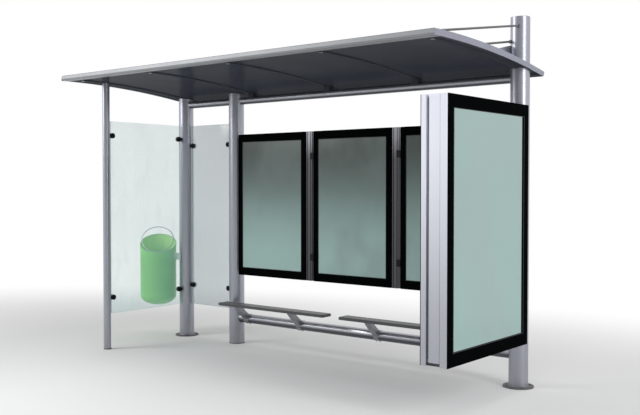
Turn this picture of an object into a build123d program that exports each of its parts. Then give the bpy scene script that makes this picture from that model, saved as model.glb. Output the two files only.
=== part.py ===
from build123d import *
import math
import os

# Bus shelter of round steel posts with an arched roof that one tall post holds up by stays.
# Millimetres. The origin is on the ground under the axis of the tall right post.
# +X runs to the right along the rear posts, +Y to the rear, +Z up.

# Posts
POST_D = 165
POST_WALL = 5
POST_LEFT_X = -4150
POST_MIDDLE_X = -3350
POST_RIGHT_X = 0
MAST_TOP = 3150
MAST_CAP_CHAMFER = 3
FRONT_POST_D = 76
FRONT_POST_WALL = 4
FRONT_POST_Y = -1125

# Feet: two wide base plates with anchor holes, and two collars no wider than the post needs
FOOT_T = 12
BASE_D = 262
ANCHOR_HOLE_D = 18
ANCHOR_CIRCLE_D = 214
ANCHORS = 4
COLLAR_EXTRA = 2

# Rear beam
BEAM_D = 76
BEAM_Z = 2634

# Roof: its section across the depth lies between two arcs, each given as radius, Y and Z of
# its crest, so it is deepest in the middle and tapers to the front and the rear
ROOF_LEFT_X = -4320
ROOF_RIGHT_X = 110
ROOF_FRONT_Y = -1550
ROOF_REAR_Y = 236
TOP_ARC = (10000, -1380, 2836)
UNDER_ARC = (10793, -1400, 2789)
NOSE_LENGTH = 84
NOSE_ROUND = 20
NOSE_GROOVE_DROP = 34
NOSE_GROOVE_DEPTH = 6
NOSE_GROOVE_W = 3
REAR_LENGTH = 84
REAR_ROUND = 17
PROFILE_WALL = 4
FASCIA_T = 8
RIB_W = 50
SADDLE_W = 70
BAYS = 4
SHEET_T = 10
SHEET_DROP = 4
SOFFIT_T = 8
SOFFIT_RAISE = 7
SHEET_GAP = 1

# Stays and arm above the roof at the tall post
STAY_D = 18
STAYS = ((20, 3066, -1400), (-60, 2943, -760))
LUG_LENGTH = 60
LUG_HEIGHT = 20
LUG_T = 24
COLLAR_D = 30
COLLAR_LENGTH = 16
ARM_X = -60
ARM_T = 10
ARM_TOP_Z = 2905
ARM_TIP_Y = -500
ARM_TIP_H = 12

# Glass screens and their round clamps
GLASS_T = 10
GLASS_BOTTOM_Z = 370
GLASS_TOP_Z = 2396
GLASS_MARGIN = 14
GLASS_EDGE = 1
SIDE_CLAMP_Z = (540, 2245)
REAR_CLAMP_Z = (588, 2170)
CLAMP_D = 56
CLAMP_SIDES = 16
CLAMP_T = 34
CLAMP_REACH = 24

# Display cases between the middle and right posts
CASE_W = 934
CASE_H = 1492
CASE_BOTTOM_Z = 769
CASE_DEPTH = 50
CASE_PITCH = 1033
CASE_FRONT_Y = -140
CASE_MARGIN_X = 60
CASE_MARGIN_Z = 80
CASE_CORNER = 6
CASE_PANE_T = 6
CASE_LIP_T = 8
CASE_WALL = 20
CASE_BACK_T = 4
CASE_CENTRE_X = -1686
UPRIGHT_W = 72
UPRIGHT_GAP = 3
UPRIGHT_STEM_W = 46
UPRIGHT_SETBACK = 6
UPRIGHT_GROOVE_W = 8
UPRIGHT_GROOVE_X = 20
RAIL_D = 48
RAIL_Z = (1005, 2015)
CLIP_W = 44
CLIP_H = 66
CLIP_T = 6

# Poster case on the tall post
BOX_FRONT_Y = -1389
BOX_REAR_Y = -84
BOX_BOTTOM_Z = 393
BOX_TOP_Z = 2393
BOX_BODY_X = (-40, 50)
BOX_OUTER_DOOR_X = (53, 121)
BOX_INNER_DOOR_X = (-65, -114)
BOX_MARGIN_Y = 78
BOX_MARGIN_Z = 100
BOX_NECK_INSET = 24
BOX_BODY_RAISE = 28
BOX_SILL_INSET = 12
BOX_SILL_RAISE = 4
BOX_BORDER_T = 6
BOX_WALL = 25
BOX_SHEET_T = 3
BOX_DOOR_WALL = 40
BOX_DOOR_EDGE = 3
BRACKET_Z = (700, 2100)
BRACKET_W = 60
BRACKET_H = 120

# Bench
BENCH_TUBE_D = 98
BENCH_Z = 283
SEAT_X = ((-3347, -1913), (-1728, -305))
SEAT_TOP_Z = 470
SEAT_T = 28
SEAT_FRONT_Y = -297
SEAT_REAR_Y = -147
SEAT_CORNER = 22
SEAT_EDGE = 6
ARM_W = 66
ARM_FOOT = ((-48, 283), (-15, 326))
ARM_HEAD_Y = (-205, -150)
ARM_BOW = 6
BENCH_COLLAR_T = 3
BENCH_ARM_X = (-3170, -2430, -1460, -640)

# Litter bin outside the side glass; its slanted mouth faces the front right
BIN_X = -4480
BIN_Y = -140
BIN_R = 205
BIN_WALL = 4
BIN_BOTTOM_Z = 343
BIN_SHOULDER_Z = 447
BIN_DISH = ((0.46, 352), (0.76, 378), (0.94, 412))
BIN_BAND_T = 2.5
BIN_BAND_H = 48
BIN_MOUTH_LOW_Z = 955
BIN_MOUTH_HIGH_Z = 1145
BIN_FACING = -45
RING_R = 180
RING_WIRE_D = 12
RING_WIRE_SIDES = 6
RING_TILT = 50
BIN_BRACKET_Z = 870
BIN_BRACKET_H = 76
BIN_BRACKET_W = 40


def save(name, builder):
    """Label one finished piece and write it to its own file."""
    builder.part.label = name
    export_step(builder.part, f"parts/{name}.step")


def arc_height(arc, y, drop=0):
    """Height at one depth of the arc that lies the given distance inside another."""
    radius, crest_y, crest_z = arc
    return crest_z - radius + math.sqrt((radius - drop) ** 2 - (y - crest_y) ** 2)


def across(x):
    """Plane whose local x is the shelter's depth and local y its height."""
    return Plane(origin=(x, 0, 0), x_dir=(0, 1, 0), z_dir=(1, 0, 0))


def arc_band(y0, y1, upper, lower, mode=Mode.ADD):
    """Face between two arcs, each given as arc and drop, for a sketch across the shelter."""
    with BuildLine() as band:
        corners = []
        for arc, drop in (upper, lower):
            points = [(y, arc_height(arc, y, drop)) for y in (y0, (y0 + y1) / 2, y1)]
            ThreePointArc(*points)
            corners.append((points[0], points[2]))
        Line(corners[0][0], corners[1][0])
        Line(corners[0][1], corners[1][1])
    make_face(band.edges(), mode=mode)


def upright_bar(x, y, z, diameter, height, mode=Mode.SUBTRACT):
    """Round bar along the height, centred on a point; mostly used to cope what meets a post."""
    with Locations((x, y, z)):
        Cylinder(diameter / 2, height, mode=mode)


os.makedirs("parts", exist_ok=True)

# Posts: two end against a rib, one against the soffit, and the right one is a capped mast
under = (UNDER_ARC, 0)
soffit_face = (UNDER_ARC, -SOFFIT_RAISE)
posts = {
    "post_rear_left": (POST_LEFT_X, 0, POST_D, POST_WALL, under),
    "post_rear_middle": (POST_MIDDLE_X, 0, POST_D, POST_WALL, soffit_face),
    "post_rear_right": (POST_RIGHT_X, 0, POST_D, POST_WALL, None),
    "post_front_left": (POST_LEFT_X, FRONT_POST_Y, FRONT_POST_D, FRONT_POST_WALL, under),
}
for name, (x, y, diameter, wall, seat) in posts.items():
    top = MAST_TOP if seat is None else arc_height(seat[0], y - diameter / 2, seat[1])
    with BuildPart() as post:
        with BuildSketch(Plane((x, y, FOOT_T))):
            Circle(diameter / 2)
            Circle(diameter / 2 - wall, mode=Mode.SUBTRACT)
        extrude(amount=top - FOOT_T)
        if seat is None:
            with BuildSketch(Plane((x, y, top - wall))):
                Circle(diameter / 2)
            extrude(amount=wall)
            rims = post.edges().filter_by(GeomType.CIRCLE).group_by(Axis.Z)[-1]
            chamfer(rims, MAST_CAP_CHAMFER)
        else:
            with BuildSketch(across(x - diameter)):
                arc_band(y - diameter, y + diameter, (TOP_ARC, -diameter), seat)
            extrude(amount=2 * diameter, mode=Mode.SUBTRACT)
    save(name, post)

# Feet
with BuildPart() as base_plates:
    for x in (POST_LEFT_X, POST_RIGHT_X):
        with BuildSketch(Plane((x, 0, 0))):
            Circle(BASE_D / 2)
            with PolarLocations(ANCHOR_CIRCLE_D / 2, ANCHORS, start_angle=45):
                Circle(ANCHOR_HOLE_D / 2, mode=Mode.SUBTRACT)
        extrude(amount=FOOT_T)
save("base_plates", base_plates)

with BuildPart() as foot_collars:
    for x, y, diameter in (
        (POST_MIDDLE_X, 0, POST_D + COLLAR_EXTRA),
        (POST_LEFT_X, FRONT_POST_Y, FRONT_POST_D + COLLAR_EXTRA),
    ):
        with BuildSketch(Plane((x, y, 0))):
            Circle(diameter / 2)
        extrude(amount=FOOT_T)
save("foot_collars", foot_collars)

# Rear beam in two lengths, each coped to the posts that it joins
spans = {
    "rear_beam_left": (POST_LEFT_X, POST_MIDDLE_X),
    "rear_beam_right": (POST_MIDDLE_X, POST_RIGHT_X),
}
for name, (x0, x1) in spans.items():
    with BuildPart() as beam:
        with BuildSketch(Plane.YZ.offset(x0)):
            with Locations((0, BEAM_Z)):
                Circle(BEAM_D / 2)
        extrude(amount=x1 - x0)
        for x in (x0, x1):
            upright_bar(x, 0, BEAM_Z, POST_D, 2 * BEAM_D)
    save(name, beam)

# Roof frame: fascias at both ends, a rounded nose in front and a rounded rear edge
inner_x0 = ROOF_LEFT_X + FASCIA_T
inner_x1 = ROOF_RIGHT_X - FASCIA_T
nose_back_y = ROOF_FRONT_Y + NOSE_LENGTH
rear_front_y = ROOF_REAR_Y - REAR_LENGTH
top = (TOP_ARC, 0)
for name, x0 in (("roof_fascia_left", ROOF_LEFT_X), ("roof_fascia_right", inner_x1)):
    with BuildPart() as fascia:
        with BuildSketch(across(x0)) as outline:
            arc_band(ROOF_FRONT_Y, ROOF_REAR_Y, top, under)
            fillet(outline.vertices().group_by(Axis.Y)[0], NOSE_ROUND)
            fillet(outline.vertices().group_by(Axis.Y)[-1], REAR_ROUND)
        extrude(amount=FASCIA_T)
    save(name, fascia)

inside = ((TOP_ARC, PROFILE_WALL), (UNDER_ARC, -PROFILE_WALL))
with BuildPart() as nose:
    with BuildSketch(across(inner_x0)) as outline:
        arc_band(ROOF_FRONT_Y, nose_back_y, top, under)
        fillet(outline.vertices().group_by(Axis.Y)[0], NOSE_ROUND)
        arc_band(ROOF_FRONT_Y + NOSE_ROUND, nose_back_y - PROFILE_WALL, *inside, Mode.SUBTRACT)
        with Locations((ROOF_FRONT_Y, arc_height(TOP_ARC, ROOF_FRONT_Y, NOSE_GROOVE_DROP))):
            Rectangle(2 * NOSE_GROOVE_DEPTH, NOSE_GROOVE_W, mode=Mode.SUBTRACT)
    extrude(amount=inner_x1 - inner_x0)
save("roof_front_nose", nose)

with BuildPart() as rear_edge:
    with BuildSketch(across(inner_x0)) as outline:
        arc_band(rear_front_y, ROOF_REAR_Y, top, under)
        fillet(outline.vertices().group_by(Axis.Y)[-1], REAR_ROUND)
        arc_band(rear_front_y + PROFILE_WALL, ROOF_REAR_Y - REAR_ROUND, *inside, Mode.SUBTRACT)
    extrude(amount=inner_x1 - inner_x0)
save("roof_rear_edge", rear_edge)

# Ribs at equal bays, solid inside; saddle blocks carry the inner ones on the rear beam
bay = (POST_RIGHT_X - POST_LEFT_X) / BAYS
rib_x = [POST_LEFT_X + bay * i for i in range(BAYS + 1)]
with BuildPart() as ribs:
    for x in rib_x:
        with BuildSketch(across(x - RIB_W / 2)):
            arc_band(nose_back_y, rear_front_y, top, under)
        extrude(amount=RIB_W)
    for x in rib_x[1:-1]:
        with BuildSketch(across(x - SADDLE_W / 2)):
            arc_band(-SADDLE_W / 2, SADDLE_W / 2, (UNDER_ARC, -PROFILE_WALL), (UNDER_ARC, BEAM_D))
        extrude(amount=SADDLE_W)
    with BuildSketch(Plane.YZ.offset(POST_LEFT_X)):
        with Locations((0, BEAM_Z - BEAM_D / 2)):
            Rectangle(2 * SADDLE_W, BEAM_D)
        with Locations((0, BEAM_Z)):
            Circle(BEAM_D / 2)
    extrude(amount=POST_RIGHT_X - POST_LEFT_X, mode=Mode.SUBTRACT)
    upright_bar(POST_RIGHT_X, 0, BEAM_Z, POST_D, 4 * POST_D)
save("roof_ribs", ribs)

# Smoked sheets above and a soffit below in the bays, with narrow strips outside the end ribs
bay_spans = [[(rib_x[i] + RIB_W / 2, rib_x[i + 1] - RIB_W / 2)] for i in range(BAYS)]
bay_spans[0].insert(0, (inner_x0, rib_x[0] - RIB_W / 2))
bay_spans[-1].append((rib_x[-1] + RIB_W / 2, inner_x1))
sheet_faces = ((TOP_ARC, SHEET_DROP), (TOP_ARC, SHEET_DROP + SHEET_T))
soffit_faces = ((UNDER_ARC, -SOFFIT_RAISE - SOFFIT_T), soffit_face)
panels = {f"roof_sheet_{i + 1}": (spans, sheet_faces) for i, spans in enumerate(bay_spans)}
panels["roof_soffit"] = (sum(bay_spans, []), soffit_faces)
for name, (widths, faces) in panels.items():
    with BuildPart() as panel:
        for x0, x1 in widths:
            with BuildSketch(across(x0)):
                arc_band(nose_back_y, rear_front_y, *faces)
            extrude(amount=x1 - x0)
        upright_bar(POST_RIGHT_X, 0, BEAM_Z, POST_D + 2 * SHEET_GAP, 4 * POST_D)
    save(name, panel)

# Stay rods, each with a collar at the mast and a block on the roof, and the tapered arm
with BuildPart() as stay_rods:
    for x, z, foot_y in STAYS:
        seat_z = arc_height(TOP_ARC, foot_y)
        start = Vector(x, -math.sqrt((POST_D / 2) ** 2 - x**2), z)
        foot = Vector(x, foot_y, seat_z + LUG_HEIGHT / 2)
        run = foot - start
        buried = start - run.normalized() * COLLAR_LENGTH
        for diameter, length in (
            (STAY_D, run.length + COLLAR_LENGTH),
            (COLLAR_D, 2 * COLLAR_LENGTH),
        ):
            with BuildSketch(Plane(origin=buried, z_dir=run)):
                Circle(diameter / 2)
            extrude(amount=length)
        with BuildSketch(across(x - LUG_T / 2)):
            with Locations((foot_y, seat_z)):
                Rectangle(LUG_LENGTH, 2 * LUG_HEIGHT)
        extrude(amount=LUG_T)
        with BuildSketch(across(x - LUG_T)):
            arc_band(foot_y - LUG_LENGTH, foot_y + LUG_LENGTH, top, (TOP_ARC, LUG_LENGTH))
        extrude(amount=2 * LUG_T, mode=Mode.SUBTRACT)
    upright_bar(POST_RIGHT_X, 0, MAST_TOP, POST_D, 4 * POST_D)
save("stay_rods", stay_rods)

arm_heel_y = -POST_D / 4
with BuildPart() as arm:
    with BuildSketch(across(ARM_X - ARM_T / 2)):
        with BuildLine():
            mid_y = (ARM_TIP_Y + arm_heel_y) / 2
            tip, mid, heel = (
                (y, arc_height(TOP_ARC, y)) for y in (ARM_TIP_Y, mid_y, arm_heel_y)
            )
            ThreePointArc(tip, mid, heel)
            Line(heel, (arm_heel_y, ARM_TOP_Z))
            Line((arm_heel_y, ARM_TOP_Z), (-POST_D / 2, ARM_TOP_Z))
            Line((-POST_D / 2, ARM_TOP_Z), (ARM_TIP_Y, tip[1] + ARM_TIP_H))
            Line((ARM_TIP_Y, tip[1] + ARM_TIP_H), tip)
        make_face()
    extrude(amount=ARM_T)
    upright_bar(POST_RIGHT_X, 0, ARM_TOP_Z, POST_D, 4 * POST_D)
save("roof_arm", arm)

# Glass screens: the left side, and the rear bay between the left and middle posts
glass_z = (GLASS_BOTTOM_Z + GLASS_TOP_Z) / 2
glass_h = GLASS_TOP_Z - GLASS_BOTTOM_Z
side_y = (FRONT_POST_Y + FRONT_POST_D / 2 + GLASS_MARGIN, -POST_D / 2 - GLASS_MARGIN)
rear_x = (POST_LEFT_X + POST_D / 2 + GLASS_MARGIN, POST_MIDDLE_X - POST_D / 2 - GLASS_MARGIN)
side_plane = Plane(
    origin=(POST_LEFT_X, sum(side_y) / 2, glass_z), x_dir=(0, 1, 0), z_dir=(1, 0, 0)
)
rear_plane = Plane(origin=(sum(rear_x) / 2, 0, glass_z), x_dir=(1, 0, 0), z_dir=(0, -1, 0))
screens = {
    "side_glass": (side_plane, side_y[1] - side_y[0], SIDE_CLAMP_Z),
    "rear_glass": (rear_plane, rear_x[1] - rear_x[0], REAR_CLAMP_Z),
}
for name, (plane, width, clamp_heights) in screens.items():
    with BuildPart() as glass:
        with BuildSketch(plane.offset(-GLASS_T / 2)):
            Rectangle(width, glass_h)
        extrude(amount=GLASS_T)
        chamfer(glass.edges().group_by(Axis.Z)[-1], GLASS_EDGE)
    save(name, glass)
    with BuildPart() as clamps:
        for z in clamp_heights:
            for way in (-1, 1):
                place = (way * (width / 2 - CLAMP_REACH), z - glass_z)
                with BuildSketch(plane.offset(-CLAMP_T / 2)):
                    with Locations(place):
                        RegularPolygon(CLAMP_D / 2, CLAMP_SIDES)
                    with Locations((way * (width / 2 + GLASS_MARGIN / 2), z - glass_z)):
                        Rectangle(GLASS_MARGIN + 2 * CLAMP_REACH, CLAMP_D / 2)
                extrude(amount=CLAMP_T)
        for x, y, diameter in (
            (POST_LEFT_X, 0, POST_D),
            (POST_MIDDLE_X, 0, POST_D),
            (POST_LEFT_X, FRONT_POST_Y, FRONT_POST_D),
        ):
            upright_bar(x, y, glass_z, diameter, glass_h)
        with BuildSketch(plane.offset(-GLASS_T / 2)):
            Rectangle(width, glass_h)
        extrude(amount=GLASS_T, mode=Mode.SUBTRACT)
    save(f"{name}_clamps", clamps)

# Display cases: a tray whose lip is the black border, and the pane set in the lip
case_x = [CASE_CENTRE_X + CASE_PITCH * i for i in (-1, 0, 1)]
case_z = CASE_BOTTOM_Z + CASE_H / 2
pane_size = (CASE_W - 2 * CASE_MARGIN_X, CASE_H - 2 * CASE_MARGIN_Z)
case_faces = [
    Plane(origin=(x, CASE_FRONT_Y, case_z), x_dir=(1, 0, 0), z_dir=(0, -1, 0)) for x in case_x
]
for i, face in enumerate(case_faces):
    with BuildPart() as case:
        with BuildSketch(face):
            RectangleRounded(CASE_W, CASE_H, CASE_CORNER)
        extrude(amount=-CASE_DEPTH)
        with BuildSketch(face.offset(-CASE_LIP_T)):
            Rectangle(CASE_W - 2 * CASE_WALL, CASE_H - 2 * CASE_WALL)
        extrude(amount=-(CASE_DEPTH - CASE_LIP_T - CASE_BACK_T), mode=Mode.SUBTRACT)
        with BuildSketch(face):
            Rectangle(*pane_size)
        extrude(amount=-CASE_LIP_T, mode=Mode.SUBTRACT)
    save(f"display_case_{i + 1}", case)

with BuildPart() as display_panes:
    for face in case_faces:
        with BuildSketch(face.offset(-CASE_LIP_T)):
            Rectangle(*pane_size)
        extrude(amount=CASE_PANE_T)
save("display_panes", display_panes)

# Uprights in the two gaps, beside the case on their left, with two grooves; clips bridge the rest
upright_x = [x + (CASE_W + UPRIGHT_W) / 2 + UPRIGHT_GAP for x in case_x[:-1]]
upright_front_y = CASE_FRONT_Y + UPRIGHT_SETBACK
case_back_y = CASE_FRONT_Y + CASE_DEPTH
with BuildPart() as uprights:
    for x in upright_x:
        with BuildSketch(Plane.XY.offset(CASE_BOTTOM_Z)):
            with Locations((x, (upright_front_y + case_back_y) / 2)):
                Rectangle(UPRIGHT_W, case_back_y - upright_front_y)
            with Locations((x, (case_back_y - RAIL_D / 4) / 2)):
                Rectangle(UPRIGHT_STEM_W, -case_back_y - RAIL_D / 4)
            for way in (-1, 1):
                with Locations((x + way * UPRIGHT_GROOVE_X, upright_front_y)):
                    Rectangle(UPRIGHT_GROOVE_W, 2 * UPRIGHT_GROOVE_W, mode=Mode.SUBTRACT)
        extrude(amount=CASE_H)
        for z in RAIL_Z:
            with BuildSketch(Plane.XZ.offset(-case_back_y)):
                with Locations((x, z)):
                    Rectangle(CASE_PITCH - CASE_W + 4 * CASE_WALL, RAIL_D)
            extrude(amount=case_back_y + RAIL_D / 4)
    with BuildSketch(Plane.YZ.offset(POST_MIDDLE_X)):
        for z in RAIL_Z:
            with Locations((0, z)):
                Circle(RAIL_D / 2)
    extrude(amount=POST_RIGHT_X - POST_MIDDLE_X, mode=Mode.SUBTRACT)
save("display_uprights", uprights)

with BuildPart() as display_clips:
    for x in case_x[1:]:
        for z in RAIL_Z:
            with BuildSketch(Plane.XZ.offset(-upright_front_y)):
                with Locations((x - (CASE_W + CLIP_W) / 2 - SHEET_GAP, z)):
                    Rectangle(CLIP_W, CLIP_H)
            extrude(amount=CLIP_T)
save("display_clips", display_clips)

with BuildPart() as display_rails:
    with BuildSketch(Plane.YZ.offset(POST_MIDDLE_X)):
        for z in RAIL_Z:
            with Locations((0, z)):
                Circle(RAIL_D / 2)
    extrude(amount=POST_RIGHT_X - POST_MIDDLE_X)
    for x in (POST_MIDDLE_X, POST_RIGHT_X):
        upright_bar(x, 0, case_z, POST_D, 2 * CASE_H)
save("display_rails", display_rails)

# Poster case: a body with a neck each side, and a glazed door with a black border on each face
box_y = (BOX_FRONT_Y + BOX_REAR_Y) / 2
box_z = (BOX_BOTTOM_Z + BOX_TOP_Z) / 2
box_size = (BOX_REAR_Y - BOX_FRONT_Y, BOX_TOP_Z - BOX_BOTTOM_Z)
body_size = (box_size[0], box_size[1] - BOX_BODY_RAISE)
body_z = box_z + BOX_BODY_RAISE / 2


def shrunk(size, margin):
    """Width and height of a rectangle set in from another by a margin all round."""
    return (size[0] - 2 * margin, size[1] - 2 * margin)


neck_x = (BOX_INNER_DOOR_X[0], BOX_OUTER_DOOR_X[0])
hollow_size = shrunk(body_size, BOX_NECK_INSET + BOX_WALL)
with BuildPart() as box_body:
    for x0, x1, inset in ((*BOX_BODY_X, 0), (*neck_x, BOX_NECK_INSET)):
        with BuildSketch(Plane(origin=(x0, box_y, body_z), x_dir=(0, 1, 0), z_dir=(1, 0, 0))):
            Rectangle(*shrunk(body_size, inset))
        extrude(amount=x1 - x0)
    sill_top = body_z - body_size[1] / 2
    with BuildSketch(Plane.XY.offset(BOX_BOTTOM_Z + BOX_SILL_RAISE)):
        with Locations((sum(neck_x) / 2, box_y)):
            Rectangle(neck_x[1] - neck_x[0], box_size[0] - 2 * BOX_SILL_INSET)
    extrude(amount=sill_top - BOX_BOTTOM_Z - BOX_SILL_RAISE + BOX_NECK_INSET)
    sheet_x = (sum(BOX_BODY_X) - BOX_SHEET_T) / 2
    for x0, x1 in ((neck_x[0], sheet_x), (sheet_x + BOX_SHEET_T, neck_x[1])):
        with BuildSketch(Plane(origin=(x0, box_y, body_z), x_dir=(0, 1, 0), z_dir=(1, 0, 0))):
            Rectangle(*hollow_size)
        extrude(amount=x1 - x0, mode=Mode.SUBTRACT)
save("poster_case_body", box_body)

picture = (box_size[0] - 2 * BOX_MARGIN_Y, box_size[1] - 2 * BOX_MARGIN_Z)
door_planes = {}
for side, (back_x, face_x) in (("outer", BOX_OUTER_DOOR_X), ("inner", BOX_INNER_DOOR_X)):
    way = math.copysign(1, face_x - back_x)
    plane = Plane(origin=(back_x, box_y, box_z), x_dir=(0, way, 0), z_dir=(way, 0, 0))
    frame_t = abs(face_x - back_x) - BOX_BORDER_T
    door_planes[side] = plane.offset(frame_t)
    with BuildPart() as door:
        with BuildSketch(plane):
            Rectangle(*box_size)
        extrude(amount=frame_t)
        chamfer(door.edges().group_by(Axis.X)[0 if way > 0 else -1], BOX_DOOR_EDGE)
        with BuildSketch(plane.offset(BOX_SHEET_T)):
            Rectangle(*shrunk(box_size, BOX_DOOR_WALL))
        extrude(amount=frame_t - BOX_SHEET_T, mode=Mode.SUBTRACT)
    save(f"poster_door_{side}", door)

with BuildPart() as poster_borders:
    for plane in door_planes.values():
        with BuildSketch(plane):
            Rectangle(*box_size)
            Rectangle(*picture, mode=Mode.SUBTRACT)
        extrude(amount=BOX_BORDER_T)
save("poster_borders", poster_borders)

with BuildPart() as poster_panes:
    for plane in door_planes.values():
        with BuildSketch(plane):
            Rectangle(*picture)
        extrude(amount=BOX_BORDER_T - 1)
save("poster_panes", poster_panes)

with BuildPart() as brackets:
    for z in BRACKET_Z:
        with BuildSketch(Plane.XY.offset(z - BRACKET_H / 2)):
            with Locations((0, BOX_REAR_Y / 2)):
                Rectangle(BRACKET_W, -BOX_REAR_Y)
        extrude(amount=BRACKET_H)
        upright_bar(POST_RIGHT_X, 0, z, POST_D, 2 * BRACKET_H)
save("poster_case_brackets", brackets)

# Bench: a tube from post to post, four arms clamped round it, and two seats
with BuildPart() as bench_tube:
    with BuildSketch(Plane.YZ.offset(POST_MIDDLE_X)):
        with Locations((0, BENCH_Z)):
            Circle(BENCH_TUBE_D / 2)
    extrude(amount=POST_RIGHT_X - POST_MIDDLE_X)
    for x in (POST_MIDDLE_X, POST_RIGHT_X):
        upright_bar(x, 0, BENCH_Z, POST_D, 2 * BENCH_TUBE_D)
save("bench_tube", bench_tube)

seat_under = SEAT_TOP_Z - SEAT_T
with BuildPart() as bench_arms:
    for x in BENCH_ARM_X:
        with BuildSketch(across(x - ARM_W / 2)):
            with Locations((0, BENCH_Z)):
                Circle(BENCH_TUBE_D / 2 + BENCH_COLLAR_T)
            low_front, low_rear = ARM_FOOT
            high_front, high_rear = ((y, seat_under) for y in ARM_HEAD_Y)
            with BuildLine() as web:
                SagittaArc(low_front, high_front, ARM_BOW)
                Line(high_front, high_rear)
                SagittaArc(high_rear, low_rear, -ARM_BOW)
                Line(low_rear, low_front)
            make_face(web.edges())
            with Locations((0, BENCH_Z)):
                Circle(BENCH_TUBE_D / 2, mode=Mode.SUBTRACT)
        extrude(amount=ARM_W)
save("bench_arms", bench_arms)

with BuildPart() as bench_seats:
    for x0, x1 in SEAT_X:
        with BuildSketch(Plane.XY.offset(seat_under)):
            with Locations(((x0 + x1) / 2, (SEAT_FRONT_Y + SEAT_REAR_Y) / 2)):
                RectangleRounded(x1 - x0, SEAT_REAR_Y - SEAT_FRONT_Y, SEAT_CORNER)
        extrude(amount=SEAT_T)
    for level in (0, -1):
        chamfer(bench_seats.edges().group_by(Axis.Z)[level], SEAT_EDGE)
save("bench_seats", bench_seats)

# Litter bin: a turned shell with a stepped bottom and a band round its slanted mouth
bin_axis = Plane(origin=(BIN_X, BIN_Y, 0), x_dir=Vector(1, 0, 0).rotate(Axis.Z, BIN_FACING),
                 z_dir=(0, 0, 1))
mouth_mid_z = (BIN_MOUTH_LOW_Z + BIN_MOUTH_HIGH_Z) / 2
mouth_tilt = math.degrees(math.atan2(BIN_MOUTH_HIGH_Z - BIN_MOUTH_LOW_Z, 2 * BIN_R))
mouth_rise = math.radians(mouth_tilt)
mouth = Plane(
    origin=(BIN_X, BIN_Y, mouth_mid_z),
    x_dir=bin_axis.y_dir,
    z_dir=bin_axis.x_dir * math.sin(mouth_rise) + Vector(0, 0, math.cos(mouth_rise)),
)
with BuildPart() as bin_band:
    with BuildSketch(bin_axis):
        Circle(BIN_R + BIN_BAND_T)
        Circle(BIN_R - BIN_WALL, mode=Mode.SUBTRACT)
    extrude(amount=BIN_MOUTH_HIGH_Z + BIN_R)
    split(bisect_by=mouth.offset(-BIN_BAND_H), keep=Keep.TOP)

section = Plane(origin=(BIN_X, BIN_Y, 0), x_dir=bin_axis.x_dir, z_dir=bin_axis.y_dir * -1)
with BuildPart() as bin_body:
    with BuildSketch(section):
        for inset, mode in ((0, Mode.ADD), (BIN_WALL, Mode.SUBTRACT)):
            radius = BIN_R - inset
            top_z = BIN_MOUTH_HIGH_Z + BIN_R + inset
            with BuildLine() as half:
                profile = [(0, BIN_BOTTOM_Z + inset)]
                profile += [(radius * share, z + inset) for share, z in BIN_DISH]
                profile += [(radius, BIN_SHOULDER_Z), (radius, top_z), (0, top_z)]
                Polyline(*profile, close=True)
            make_face(half.edges(), mode=mode)
    revolve(axis=Axis((BIN_X, BIN_Y, 0), (0, 0, 1)))
    add(bin_band.part)
    split(bisect_by=mouth, keep=Keep.BOTTOM)
save("bin_body", bin_body)

# The wire ring stands up from the low side of the mouth
tilt = math.radians(RING_TILT)
lip = Vector(BIN_X, BIN_Y, BIN_MOUTH_LOW_Z) + bin_axis.x_dir * (BIN_R - BIN_WALL / 2)
along = bin_axis.x_dir * -math.cos(tilt) + Vector(0, 0, math.sin(tilt))
ring_centre = lip + along * (RING_R + RING_WIRE_D / 2) + Vector(0, 0, RING_WIRE_D / 4)
ring_normal = bin_axis.x_dir * math.sin(tilt) + Vector(0, 0, math.cos(tilt))
with BuildPart() as bin_ring:
    with BuildSketch(Plane(origin=ring_centre + along * RING_R, x_dir=along,
                           z_dir=bin_axis.y_dir)):
        RegularPolygon(RING_WIRE_D / 2, RING_WIRE_SIDES)
    revolve(axis=Axis(ring_centre, ring_normal))
save("bin_ring", bin_ring)

with BuildPart() as bin_bracket:
    with BuildSketch(Plane.XY.offset(BIN_BRACKET_Z)):
        with Locations(((BIN_X + POST_LEFT_X) / 2, BIN_Y / 2)):
            Rectangle(POST_LEFT_X - BIN_X, BIN_BRACKET_W)
    extrude(amount=BIN_BRACKET_H)
    upright_bar(POST_LEFT_X, 0, BIN_BRACKET_Z, POST_D, 4 * BIN_BRACKET_H)
    upright_bar(BIN_X, BIN_Y, BIN_BRACKET_Z, 2 * BIN_R, 4 * BIN_BRACKET_H)
save("bin_bracket", bin_bracket)
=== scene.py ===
"""Bus shelter in Blender: finishes, small hardware, glazing trim, studio floor and camera.

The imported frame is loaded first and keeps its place. Every finish is a small class that
builds one node material, and every group of small parts is a class that works its surfaces
out with numpy. Lengths are in metres and share the frame's axes.
"""

import logging
import math
from dataclasses import dataclass, field
from enum import Enum

import bmesh
import bpy
import numpy as np
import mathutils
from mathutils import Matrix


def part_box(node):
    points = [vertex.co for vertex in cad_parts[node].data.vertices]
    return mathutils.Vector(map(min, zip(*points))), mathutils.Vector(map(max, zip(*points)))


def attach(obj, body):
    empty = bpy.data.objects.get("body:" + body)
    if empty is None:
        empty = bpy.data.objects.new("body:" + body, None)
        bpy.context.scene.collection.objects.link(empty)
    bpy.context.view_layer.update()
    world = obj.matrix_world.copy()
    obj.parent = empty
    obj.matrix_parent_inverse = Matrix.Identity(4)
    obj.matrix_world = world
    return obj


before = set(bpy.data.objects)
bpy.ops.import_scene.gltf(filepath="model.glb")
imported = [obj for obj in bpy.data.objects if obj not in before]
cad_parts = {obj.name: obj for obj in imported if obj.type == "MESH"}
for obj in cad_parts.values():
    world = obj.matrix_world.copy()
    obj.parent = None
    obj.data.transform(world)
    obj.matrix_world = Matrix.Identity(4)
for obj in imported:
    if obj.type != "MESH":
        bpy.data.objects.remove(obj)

LOG = logging.getLogger("bus_shelter")
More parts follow.
